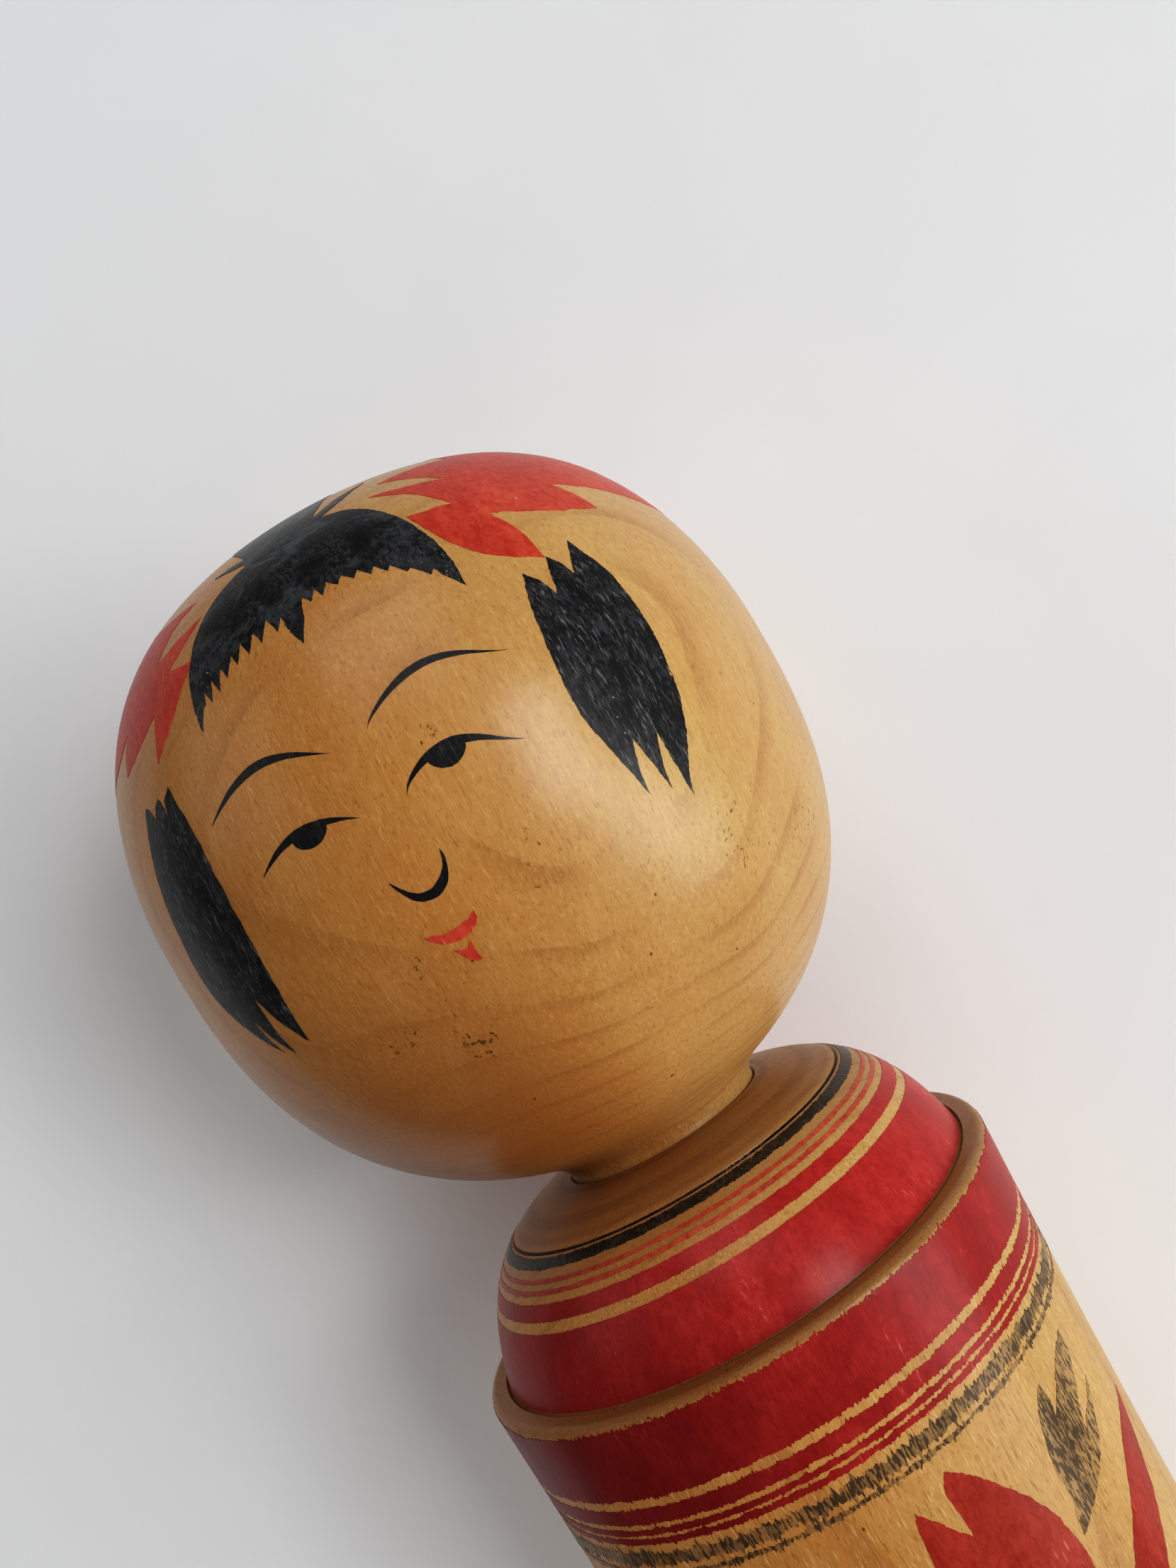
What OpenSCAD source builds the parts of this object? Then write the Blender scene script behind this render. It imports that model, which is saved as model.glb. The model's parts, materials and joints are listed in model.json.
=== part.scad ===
// Turned wooden kokeshi doll: a solid body and a head that turns in it.
// Millimetres, +Z up. The origin is the centre of the flat base and the face looks along -Y.
// The two pieces share the +Z axis, which is also the axis that the head turns on.

/* [Head] */
// Height of the head above the neck seam
head_h = 80; // [70:0.5:90]
// Diameter of the head where it is widest
head_d = 78; // [70:0.5:86]
// Height of the widest place above the neck seam
head_widest_h = 45.8; // [42:0.2:50]
// How square the crown is at its edge: higher is squarer
crown_square = 3.3; // [2:0.1:4]
// How full the jaw is: higher is fuller
jaw_full = 2.6; // [2:0.1:3]

/* [Neck] */
// Diameter of the neck where it enters the body
neck_d = 24.4; // [20:0.2:28]
// How far the curve under the jaw reaches out from the neck
neck_flare = 4.1; // [3:0.1:5]

/* [Body] */
// Height of the body from its base to the neck seam
body_h = 162; // [140:1:190]
// Height of the domed shoulder above its ledge
shoulder_h = 15.6; // [13:0.2:18]
// Diameter of the domed shoulder at its foot
shoulder_d = 59.6; // [57:0.2:60]
// Diameter over the ledge around the shoulder
ledge_d = 64.8; // [64:0.2:68]
// Rounding of the ledge's outer edge
ledge_round = 0.9; // [0.5:0.1:1]
// Diameter of the slight waist
waist_d = 59.6; // [54:0.2:62]
// Height of the waist above the base
waist_h = 70; // [50:1:90]
// Diameter at the foot
foot_d = 65.6; // [62:0.2:70]
// Rounding of the foot's edge
foot_round = 1.2; // [0.5:0.1:2]

/* [Turned lines] */
// Width of the line cut round the shoulder
shoulder_line_w = 0.5; // [0.3:0.1:0.8]
// Depth of the line cut round the shoulder
shoulder_line_deep = 0.3; // [0.2:0.05:0.5]
// Where that line lies, from the neck (0) to the ledge (1)
shoulder_line_at = 0.38; // [0.3:0.01:0.6]
// Width and depth of the groove where the shoulder meets the ledge
ledge_groove = 0.4; // [0.2:0.05:0.5]

/* [Neck joint] */
// Radial running clearance of the neck in the socket's mouth
neck_clear = 0.05; // [0.02:0.01:0.1]
// Length of the socket's narrow mouth
mouth_len = 8; // [6:0.5:12]
// Length of the tenon below the neck seam
tenon_len = 20; // [18:0.5:26]
// How far the tenon's bulge stands out past the neck, all round
bulge_proud = 0.7; // [0.4:0.1:1.2]
// Free space round the bulge and under the tenon
bulge_clear = 0.4; // [0.3:0.1:0.8]

/* [Hidden] */
$fn = 96;

neck_r = neck_d / 2;
mouth_r = neck_r + neck_clear;
bulge_r = neck_r + bulge_proud;
chamber_r = bulge_r + bulge_clear;
// Small bevel at the mouth, which shows as the dark line of the seam
mouth_bevel = 0.3;
// Bevel at the tenon's end
tenon_bevel = 1.5;

head_r = head_d / 2;
// Exponents of the crown's height and of the jaw's width, and the height of the jaw's lowest point
crown_round = 1.93;
jaw_round = 2.03;
jaw_low = 0.6;
// Radius at which the neck's flare runs into the jaw
flare_r = neck_r + neck_flare;
neck_straight_h = 0.5;

ledge_r = ledge_d / 2;
shoulder_r = shoulder_d / 2;
ledge_z = body_h - shoulder_h;
waist_r = waist_d / 2;
foot_r = foot_d / 2;
// How sharply the side leaves the waist, upwards and downwards
side_up = 1.8;
side_down = 2;

// Points on a three-point curve and on a four-point curve
function curve3(a, b, c, t) = (1 - t) * (1 - t) * a + 2 * t * (1 - t) * b + t * t * c;
function curve4(a, b, c, d, t) = (1 - t) * curve3(a, b, c, t) + t * curve3(b, c, d, t);

// Quarter of a rounded corner about a centre, from angle a0 to angle a1
function corner(centre, r, a0, a1, steps) =
    [for (i = [0 : steps]) let (a = a0 + (a1 - a0) * i / steps) centre + r * [cos(a), sin(a)]];

// Height of the crown and of the jaw above the seam, at radius r
function crown_z(r) =
    head_widest_h
    + (head_h - head_widest_h) * pow(1 - pow(r / head_r, crown_square), 1 / crown_round);
function jaw_z(r) =
    head_widest_h
    - (head_widest_h - jaw_low) * pow(1 - pow(r / head_r, jaw_round), 1 / jaw_full);

// The shoulder runs out almost level from the mouth, then turns down to the ledge
shoulder_curve = [
    [mouth_r + mouth_bevel, body_h],
    [mouth_r + mouth_bevel + 9.7, body_h - 0.4],
    [shoulder_r - 2.2, ledge_z + 9.9],
    [shoulder_r, ledge_z],
];
function shoulder_point(t) =
    curve4(shoulder_curve[0], shoulder_curve[1], shoulder_curve[2], shoulder_curve[3], t);

// Radius of the body's side at height z
function side_r(z) =
    z > waist_h
    ? waist_r + (ledge_r - waist_r) * pow((z - waist_h) / (ledge_z - ledge_round - waist_h), side_up)
    : waist_r + (foot_r - waist_r) * pow((waist_h - z) / waist_h, side_down);

function socket_outline() = [
    [0, body_h - tenon_len - bulge_clear],
    [chamber_r, body_h - tenon_len - bulge_clear],
    [chamber_r, body_h - mouth_len - (chamber_r - mouth_r)],
    [mouth_r, body_h - mouth_len],
    [mouth_r, body_h - mouth_bevel],
    [mouth_r + mouth_bevel, body_h],
];

function shoulder_outline() = [for (i = [1 : 24]) shoulder_point(i / 24)];

function ledge_outline() = concat(
    [
        [shoulder_r + ledge_groove / 2, ledge_z - ledge_groove],
        [shoulder_r + ledge_groove, ledge_z],
    ],
    corner([ledge_r - ledge_round, ledge_z - ledge_round], ledge_round, 90, 0, 6)
);

function side_outline() =
    let (top = ledge_z - ledge_round, steps = 24)
    [for (i = [1 : steps]) let (z = top + (foot_round - top) * i / steps) [side_r(z), z]];

function foot_outline() = concat(
    corner([side_r(foot_round) - foot_round, foot_round], foot_round, -15, -90, 5),
    [[0, 0]]
);

// Fine V groove cut across the shoulder's surface, all the way round
module shoulder_line() {
    at = shoulder_point(shoulder_line_at);
    along = shoulder_point(shoulder_line_at + 0.01) - at;
    tilt = atan2(along[1], along[0]);
    rotate_extrude()
        translate(at)
            rotate(tilt)
                polygon([
                    [-shoulder_line_w / 2, 0.02],
                    [-shoulder_line_w / 2, 0],
                    [0, -shoulder_line_deep],
                    [shoulder_line_w / 2, 0],
                    [shoulder_line_w / 2, 0.02],
                ]);
}

// Solid turned body, with the undercut socket that holds the head's tenon
module body() {
    color("burlywood")
        difference() {
            rotate_extrude()
                polygon(concat(
                    socket_outline(),
                    shoulder_outline(),
                    ledge_outline(),
                    side_outline(),
                    foot_outline()
                ));
            shoulder_line();
        }
}

// The tenon is the neck carried on down, with a bulge that the socket's mouth holds in
function tenon_outline() = [
    [0, -tenon_len],
    [bulge_r - tenon_bevel, -tenon_len],
    [bulge_r, -tenon_len + tenon_bevel],
    [bulge_r, -mouth_len - bulge_clear - bulge_proud],
    [neck_r, -mouth_len - bulge_clear],
    [neck_r, neck_straight_h],
];

function flare_outline() =
    let (
        end = [flare_r, jaw_z(flare_r)],
        back = [flare_r - 0.1, jaw_z(flare_r - 0.1)],
        slope = (end[1] - back[1]) / (end[0] - back[0]),
        turn = [neck_r, end[1] - slope * (flare_r - neck_r)]
    )
    [for (i = [1 : 6]) curve3([neck_r, neck_straight_h], turn, end, i / 6)];

function jaw_outline() =
    let (a0 = asin(flare_r / head_r), steps = 22)
    [for (i = [1 : steps]) let (r = head_r * sin(a0 + (90 - a0) * i / steps)) [r, jaw_z(r)]];

function crown_outline() =
    let (steps = 26)
    [for (i = [1 : steps]) let (r = head_r * sin(90 - 90 * i / steps)) [r, crown_z(r)]];

// Solid turned head with its tenon
module head() {
    color("wheat")
        translate([0, 0, body_h])
            rotate_extrude()
                polygon(concat(
                    tenon_outline(),
                    flare_outline(),
                    jaw_outline(),
                    crown_outline()
                ));
}

body();
head();
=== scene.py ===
import json
import math
import random

import bpy
import numpy as np
from mathutils import Matrix, Vector
from mathutils.geometry import delaunay_2d_cdt


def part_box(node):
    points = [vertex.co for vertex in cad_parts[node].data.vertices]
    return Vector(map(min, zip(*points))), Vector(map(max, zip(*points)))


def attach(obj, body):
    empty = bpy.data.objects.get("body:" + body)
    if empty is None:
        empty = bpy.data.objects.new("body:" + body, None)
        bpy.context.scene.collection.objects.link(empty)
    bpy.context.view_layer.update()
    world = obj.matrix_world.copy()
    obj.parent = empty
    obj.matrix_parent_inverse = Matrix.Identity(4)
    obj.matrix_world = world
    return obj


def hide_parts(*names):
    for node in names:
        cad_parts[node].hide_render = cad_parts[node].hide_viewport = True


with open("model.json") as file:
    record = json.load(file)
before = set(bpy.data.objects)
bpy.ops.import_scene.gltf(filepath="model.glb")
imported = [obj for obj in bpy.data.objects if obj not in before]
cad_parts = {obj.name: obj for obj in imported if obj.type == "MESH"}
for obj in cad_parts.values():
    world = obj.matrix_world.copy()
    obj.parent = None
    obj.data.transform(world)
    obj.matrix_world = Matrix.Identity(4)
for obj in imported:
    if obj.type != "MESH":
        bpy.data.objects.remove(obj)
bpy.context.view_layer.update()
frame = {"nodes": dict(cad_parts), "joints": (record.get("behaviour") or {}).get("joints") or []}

# Lengths are in millimetres until a mesh is made. Azimuth 0 is the face, which looks along -Y, and
# it grows towards the doll's left, +X.
MM = 0.001
SEAM_Z = frame["joints"][0]["pos_m"][2] / MM
HEAD_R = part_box("head")[1].x / MM
WOOD_ROUND = 288  # faces round a turned piece
WOOD_STEP = 1.1  # longest face along a turned piece's outline
SAME_RING = 0.06  # points of the CAD mesh that lie closer than this belong to one ring
CORNER_COS = math.cos(math.radians(24))  # a sharper turn in the CAD outline stays a corner
PAINT_LIFT = 0.04  # how far a film of paint stands above the wood
PAINT_SINK = 0.05  # how far its underside lies in the wood
PAINT_STEP = 1.2  # between the points inside a brush stroke
BRUSH_STEP = 0.3  # between the points along its edge
STRIPE_STEPS = 1200  # steps round a painted ring
GROOVE_R = 30.0  # radius at which the dome meets the ledge
PITH = (-5.0, 14.0, 0)  # middle of the tree, behind the turning axis
YEAR = 2.1  # wood grown in a year
# pale yellow of the doll's left side: partly the wood's own tone, partly painted sheen where the window
# shines
SIDE_WOOD_AND_SHEEN = (0.55, 0.355, 0.135)
FRONT_WOOD = (0.50, 0.235, 0.066)
LIGHT_AWAY = 2.5  # metres from a light to the doll's neck
rng = random.Random(24)
noise_rng = np.random.default_rng(24)


# ---------------------------------------------------------------- camera

def place_camera():
    """A phone held close over the doll: in front of it, just above the neck, and rolled over."""
    data = bpy.data.cameras.new("camera")
    data.sensor_width = 36
    data.lens = 28.1
    data.clip_start = 0.005
    data.clip_end = 20
    camera = bpy.data.objects.new("camera", data)
    bpy.context.scene.collection.objects.link(camera)
    camera.location = Vector((27.8, -144.1, SEAM_Z + 32)) * MM
    yaw, pitch, roll = math.radians(6), math.radians(2.74), math.radians(-30.28)
    camera.rotation_mode = "QUATERNION"
    level = Matrix.Rotation(yaw, 4, "Z") @ Matrix.Rotation(math.radians(90) + pitch, 4, "X")
    camera.rotation_quaternion = (level @ Matrix.Rotation(roll, 4, "Z")).to_quaternion()
    bpy.context.scene.camera = camera


# ---------------------------------------------------------------- turned surfaces

def walk_outline(node):
    """The CAD node's turned outline as (radius, height) points, walked ring by ring from its top end."""
    mesh = frame["nodes"][node].data
    keys = [(round(math.hypot(v.co.x, v.co.y) / MM, 2), round(v.co.z / MM, 2)) for v in mesh.vertices]
    rings, ring_of = [], {}
    for key in sorted(set(keys)):
        known = [p for p in rings if math.dist(p, key) < SAME_RING]
        rings += [] if known else [key]
        ring_of[key] = known[0] if known else key
    near = {p: set() for p in rings}
    for edge in mesh.edges:
        a, b = (ring_of[keys[i]] for i in edge.vertices)
        if a != b:
            near[a].add(b)
            near[b].add(a)
    walked = [max((p for p in rings if len(near[p]) == 1), key=lambda p: p[1])]
    while near[walked[-1]] - set(walked):
        walked.append(min(near[walked[-1]] - set(walked), key=lambda p: math.dist(p, walked[-1])))
    if walked[0][0] > 0:
        walked.insert(0, (0.0, walked[0][1]))
    walked.append((0.0, walked[-1][1]))
    return walked


class Turned:
    """A turned surface: radius, height and outward normal against the distance s along it."""

    def __init__(self, node, zero_at):
        points = np.array(walk_outline(node))
        steps = np.diff(points, axis=0)
        lengths = np.hypot(*steps.T)
        self.points = points
        self.s = np.concatenate([[0], np.cumsum(lengths)])
        self.s -= self.s[zero_at(points)]
        directions = steps / lengths[:, None]
        turn = np.einsum("ij,ij->i", directions[:-1], directions[1:])
        corner = np.concatenate([[True], turn < CORNER_COS, [True]])[:, None]
        before = np.vstack([directions[:1], directions])
        after = np.vstack([directions, directions[-1:]])
        length_before, length_after = np.r_[1, lengths][:, None], np.r_[lengths, 1][:, None]
        # at a smooth place the shorter step's direction counts for more, but a step much longer than
        # its neighbour is a straight run, which stays straight
        smooth = before * length_after + after * length_before
        smooth = np.where(length_before > 2.5 * length_after, before, smooth)
        smooth = np.where(length_after > 2.5 * length_before, after, smooth)
        smooth /= np.linalg.norm(smooth, axis=1)[:, None]
        self.tangent_in = np.where(corner, before, smooth)
        self.tangent_out = np.where(corner, after, smooth)

    def at(self, s):
        """Radius, height and the outward normal's two parts, on a smooth curve at the distances s."""
        s = np.clip(np.atleast_1d(s).astype(float), self.s[0], self.s[-1])
        i = np.clip(np.searchsorted(self.s, s, side="right") - 1, 0, len(self.s) - 2)
        length = self.s[i + 1] - self.s[i]
        t = ((s - self.s[i]) / length)[:, None]
        p0, p1 = self.points[i], self.points[i + 1]
        m0, m1 = self.tangent_out[i] * length[:, None], self.tangent_in[i + 1] * length[:, None]
        where = ((2 * t**3 - 3 * t**2 + 1) * p0 + (t**3 - 2 * t**2 + t) * m0
                 + (3 * t**2 - 2 * t**3) * p1 + (t**3 - t**2) * m1)
        along = ((6 * t**2 - 6 * t) * (p0 - p1) + (3 * t**2 - 4 * t + 1) * m0
                 + (3 * t**2 - 2 * t) * m1)
        along /= np.linalg.norm(along, axis=1)[:, None]
        return where[:, 0], where[:, 1], -along[:, 1], along[:, 0]

    def s_at_height(self, z, after=0.0):
        """Distance along the surface at a height, below the place s = after."""
        down = self.s >= after
        return np.interp(-np.asarray(z, float), -self.points[down, 1], self.s[down])

    def place(self, azimuth, s, lift=0.0):
        """Points and unit normals in millimetres, at azimuths in radians."""
        r, z, nr, nz = self.at(s)
        sin, cos = np.sin(azimuth), np.cos(azimuth)
        out = r + nr * lift
        where = np.stack([out * sin, -out * cos, z + nz * lift], axis=1)
        return where, np.stack([nr * sin, -nr * cos, nz], axis=1)


head = Turned("head", lambda points: 0)
body = Turned("body", lambda points: int(np.argmax(points[:, 1])))
ledge = int(np.argmax(np.where(body.points[:, 1] > SEAM_Z - 25, body.points[:, 0], 0)))
LEDGE_R = float(body.points[ledge, 0])
LEDGE_S = float(body.s[ledge])


def new_object(name, vertices, faces, normals, material):
    """A mesh object in metres, with one normal for each corner of each face."""
    mesh = bpy.data.meshes.new(name)
    mesh.from_pydata((np.asarray(vertices) * MM).tolist(), [], faces)
    mesh.polygons.foreach_set("use_smooth", [True] * len(mesh.polygons))
    mesh.normals_split_custom_set(normals)
    mesh.materials.append(material)
    obj = bpy.data.objects.new(name, mesh)
    bpy.context.scene.collection.objects.link(obj)
    return obj


def turned_solid(name, surface, material):
    """The whole turned piece as a smooth closed mesh."""
    stations = []
    for a, b in zip(surface.s[:-1], surface.s[1:]):
        count = max(1, math.ceil((b - a) / WOOD_STEP))
        stations += [a + (b - a) * k / count for k in range(count)]
    stations.append(surface.s[-1])
    rows = len(stations) - 1
    around = np.arange(WOOD_ROUND) * 2 * math.pi / WOOD_ROUND
    vertices, start = [], []
    for s in stations:
        start.append(len(vertices))
        r, z, _, _ = surface.at(s)
        if r[0] < 0.01:
            vertices.append((0.0, 0.0, z[0]))
        else:
            vertices += [(r[0] * math.sin(a), -r[0] * math.cos(a), z[0]) for a in around]
    start.append(len(vertices))
    faces, normals = [], []
    for row in range(rows):
        ends = (stations[row] + 1e-5, stations[row + 1] - 1e-5)
        upper = surface.place(around, np.full(WOOD_ROUND, ends[0]))[1]
        lower = surface.place(around, np.full(WOOD_ROUND, ends[1]))[1]
        a, b = start[row], start[row + 1]
        point_a, point_b = start[row + 1] - a == 1, start[row + 2] - b == 1
        for j in range(WOOD_ROUND):
            k = (j + 1) % WOOD_ROUND
            if point_a:
                faces.append((a, b + j, b + k))
                normals += [upper[j], lower[j], lower[k]]
            elif point_b:
                faces.append((a + j, b, a + k))
                normals += [upper[j], lower[j], upper[k]]
            else:
                faces.append((a + j, b + j, b + k, a + k))
                normals += [upper[j], lower[j], lower[k], upper[k]]
    return new_object(name, vertices, faces, np.array(normals), material)


# ---------------------------------------------------------------- brush work

def on_crown(points):
    """Drawing sheet laid on the crown: x and y from the head's top, the face at the bottom."""
    x, y = np.asarray(points).T
    return head, np.arctan2(x, -y), np.hypot(x, y)


def on_head(points):
    """Drawing sheet wrapped round the head: x round its widest place, y above the neck seam."""
    x, y = np.asarray(points).T
    return head, x / HEAD_R, head.s_at_height(SEAM_Z + y)


def on_body(points):
    """Drawing sheet wrapped round the body's side: x round the ledge, y above the neck seam."""
    x, y = np.asarray(points).T
    return body, x / LEDGE_R, body.s_at_height(SEAM_Z + y, LEDGE_S)


def leaf(a, b, left, right, peak=0.5, blunt_a=1.0, blunt_b=1.0):
    """Outline of one brush stroke from a to b. left and right are how far its two edges bow to the
    left of the line a-b; a low blunt value makes that end fuller."""
    a, b = np.array(a, float), np.array(b, float)
    along = b - a
    side = np.array([-along[1], along[0]]) / np.linalg.norm(along)
    t = np.linspace(0, 1, 41)
    power = blunt_a + (blunt_b - blunt_a) * t
    swell = np.sin(np.pi * t ** (math.log(0.5) / math.log(peak))).clip(0) ** power
    edges = [a + along * t[:, None] + side * (bow * swell)[:, None] for bow in (left, right)]
    return np.vstack([edges[0], edges[1][-2:0:-1]])


def mirrored(outline):
    """The same outline on the other side of the doll."""
    return np.asarray(outline)[::-1] * (-1, 1)


def outline(start, *edges):
    """A closed outline. Each edge is a smooth curve on from the last one, and its end is a corner."""
    points, here = [], start
    for edge in edges:
        points += curve_through([here, *edge])[:-1]
        here = edge[-1]
    return np.array(points)


def curve_through(points):
    """A smooth open curve through the points, in eight steps from each to the next."""
    p = np.array(points, float)
    p = np.vstack([2 * p[0] - p[1], p, 2 * p[-1] - p[-2]])
    out = []
    for i in range(1, len(p) - 2):
        for t in np.arange(8) / 8:
            out.append(0.5 * (2 * p[i] + (p[i + 1] - p[i - 1]) * t
                              + (2 * p[i - 1] - 5 * p[i] + 4 * p[i + 1] - p[i + 2]) * t**2
                              + (3 * p[i] - p[i - 1] - 3 * p[i + 1] + p[i + 2]) * t**3))
    return out + [p[-2]]


def hand_drawn(outline, amount):
    """The same outline in short steps, its edge a little unsteady as the brush leaves it."""
    p = np.asarray(outline, float)
    q = np.roll(p, -1, axis=0)
    out = []
    for a, b in zip(p, q):
        count = max(1, round(math.dist(a, b) / BRUSH_STEP))
        out += [a + (b - a) * k / count for k in range(count)]
    out = np.array(out)
    shake = noise_rng.normal(0, 1, (len(out), 2))
    slow = sum(np.roll(shake, k, axis=0) for k in range(-2, 3)) / 5
    return out + (0.6 * shake + slow) * amount


def inside(points, outline):
    """True for each point that lies inside the outline."""
    x, y = points.T
    result = np.zeros(len(points), bool)
    a = np.asarray(outline)
    b = np.roll(a, -1, axis=0)
    for (x0, y0), (x1, y1) in zip(a, b):
        if y0 != y1:
            crosses = (y0 > y) != (y1 > y)
            result ^= crosses & (x < (x1 - x0) * (y - y0) / (y1 - y0) + x0)
    return result


def fill(outlines):
    """Triangles that fill the union of the outlines, as flat points and index triples."""
    spacing = PAINT_STEP
    edge = np.vstack(outlines)
    low, high = edge.min(axis=0), edge.max(axis=0)
    grid = np.array([(x + (row % 2) * spacing / 2, y)
                     for row, y in enumerate(np.arange(low[1], high[1], spacing * 0.87))
                     for x in np.arange(low[0], high[0], spacing)])
    keep = np.zeros(len(grid), bool)
    for outline in outlines:
        keep |= inside(grid, outline)
    grid = grid[keep]
    if len(grid):
        gap = np.array([np.hypot(*(edge - p).T).min() for p in grid])
        grid = grid[gap > spacing * 0.45]
    loops, start = [], 0
    for outline in outlines:
        loops.append(list(range(start, start + len(outline))))
        start += len(outline)
    flat = [Vector(p) for p in np.vstack([edge, grid])]
    points, _, triangles, _, _, _ = delaunay_2d_cdt(flat, [], loops, 1, 1e-5)
    points = np.array([tuple(p) for p in points])
    triangles = np.array([tuple(t) for t in triangles])
    middle = points[triangles].mean(axis=1)
    covered = np.zeros(len(middle), bool)
    for outline in outlines:
        covered |= inside(middle, outline)
    used = np.unique(triangles[covered])
    place = np.full(len(points), -1)
    place[used] = np.arange(len(used))
    return points[used], [tuple(t) for t in place[triangles[covered]].tolist()]


def paint(name, rides, sheet, outlines, material, shake, lift=PAINT_LIFT):
    """A closed film of paint in the shape of the outlines, lying on the wood."""
    outlines = [hand_drawn(o, shake) for o in outlines]
    flat, triangles = fill(outlines)
    surface, azimuth, s = sheet(flat)
    top, normal = surface.place(azimuth, s, lift)
    under, _ = surface.place(azimuth, s, -PAINT_SINK)
    n = len(flat)
    first = triangles[0]
    across = np.cross(top[first[1]] - top[first[0]], top[first[2]] - top[first[0]])
    if np.dot(across, normal[first[0]]) < 0:
        triangles = [t[::-1] for t in triangles]
    faces, normals = [], []
    used = {}
    for t in triangles:
        faces.append(t)
        normals += [normal[i] for i in t]
        faces.append(tuple(i + n for i in t[::-1]))
        normals += [-normal[i] for i in t[::-1]]
        for a, b in zip(t, t[1:] + t[:1]):
            used[(a, b)] = used.get((a, b), 0) + 1
    for a, b in used:
        if (b, a) not in used:
            faces.append((b, a, a + n, b + n))
            wall = np.cross(top[b] - top[a], normal[a])
            wall /= np.linalg.norm(wall) or 1
            normals += [wall] * 4
    obj = new_object(name, np.vstack([top, under]), faces, np.array(normals), material)
    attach(obj, rides)


def ring(name, surface, s0, s1, material, slot, rides, ragged0, ragged1, teeth=0.0):
    """A band of paint right round the piece, from s0 to s1 along its surface. Its edges are ragged
    where the paint has bled along the grain."""
    columns = STRIPE_STEPS
    rows = max(2, math.ceil((s1 - s0) / 0.8) + 1)
    around = np.arange(columns) * 2 * math.pi / columns

    def edge(amount):
        """How far the edge strays: it wavers, and at one step in four it bleeds up to teeth further."""
        fine = noise_rng.normal(0, 1, columns)
        slow = np.convolve(np.r_[fine, fine], np.ones(9) / 9, "same")[:columns] * 2
        drawn = amount * (0.65 * fine + 0.3 * slow)
        runs = noise_rng.random(columns)
        long = np.where(runs > 0.75, noise_rng.random(columns) ** 2, 0)
        return drawn + teeth * long

    low, high = s0 - edge(ragged0), s1 + edge(ragged1)
    vertices, normals_at = [], []
    for level in (PAINT_LIFT, -PAINT_SINK):
        for k in np.linspace(0, 1, rows):
            where, normal = surface.place(around, low + (high - low) * k, level)
            vertices.append(where)
            normals_at.append(normal)
    vertices, normals_at = np.vstack(vertices), np.vstack(normals_at)
    faces, normals = [], []
    under = rows * columns
    for row in range(rows - 1):
        for j in range(columns):
            k = (j + 1) % columns
            a, b = row * columns, (row + 1) * columns
            quad = (a + j, b + j, b + k, a + k)
            faces.append(quad)
            normals += [normals_at[i] for i in quad]
            back = tuple(i + under for i in quad[::-1])
            faces.append(back)
            normals += [-normals_at[i] for i in back]
    last = (rows - 1) * columns
    for j in range(columns):
        k = (j + 1) % columns
        a, b = last + j, last + k
        for quad in ((j, k, under + k, under + j), (b, a, under + a, under + b)):
            corners = vertices[list(quad)]
            across = np.cross(corners[1] - corners[0], corners[2] - corners[1])
            length = np.linalg.norm(across)
            faces.append(quad)
            normals += [across / length if length else normals_at[quad[0]]] * 4
    obj = new_object(name, vertices, faces, np.array(normals), material)
    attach(obj, rides)


# ---------------------------------------------------------------- materials

class Graph:
    """A short way to build a node tree. Each method returns an output socket."""

    def __init__(self, tree):
        self.tree = tree

    def node(self, kind, inputs=None, **settings):
        made = self.tree.nodes.new(kind)
        for key, value in settings.items():
            setattr(made, key, value)
        for key, value in (inputs or {}).items():
            if isinstance(value, bpy.types.NodeSocket):
                self.tree.links.new(value, made.inputs[key])
            else:
                made.inputs[key].default_value = value
        return made

    def math(self, operation, a, b=0.0):
        return self.node("ShaderNodeMath", {0: a, 1: b}, operation=operation).outputs[0]

    def times(self, a, b):
        return self.math("MULTIPLY", a, b)

    def plus(self, a, b):
        return self.math("ADD", a, b)

    def vector(self, operation, a, b):
        made = self.node("ShaderNodeVectorMath", {0: a, 1: b}, operation=operation)
        return made.outputs["Value" if operation in ("LENGTH", "DOT_PRODUCT") else "Vector"]

    def length(self, a):
        return self.vector("LENGTH", a, (0, 0, 0))

    def mix(self, share, a, b):
        return self.node("ShaderNodeMix", {0: share, 6: a, 7: b}, data_type="RGBA").outputs[2]

    def tint(self, tone, *layers):
        """Colours laid over tone one after the other, each with its own share."""
        for share, over in layers:
            tone = self.mix(share, tone, colour(*over))
        return tone

    def noise(self, at, stretch=(1, 1, 1), detail=2.0, rough=0.5, distort=0.0):
        where = self.vector("MULTIPLY", at, stretch)
        made = self.node("ShaderNodeTexNoise", {"Vector": where, "Scale": 1.0, "Detail": detail,
                                                "Roughness": rough, "Distortion": distort})
        return made.outputs["Fac"]

    def remap(self, value, low, high, out_low=0.0, out_high=1.0):
        """A smooth step from out_low to out_high as value goes from low to high."""
        made = self.node("ShaderNodeMapRange", {"Value": value, "From Min": low, "From Max": high,
                                                "To Min": out_low, "To Max": out_high},
                         interpolation_type="SMOOTHSTEP")
        return made.outputs["Result"]


def colour(r, g, b):
    """A colour in linear light, for a colour socket."""
    return (r, g, b, 1.0)


def darker(tone, red, rest):
    """A deeper shade: the red and the other two channels, each brought down to its own share."""
    return (tone[0] * red, tone[1] * rest, tone[2] * rest)


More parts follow.
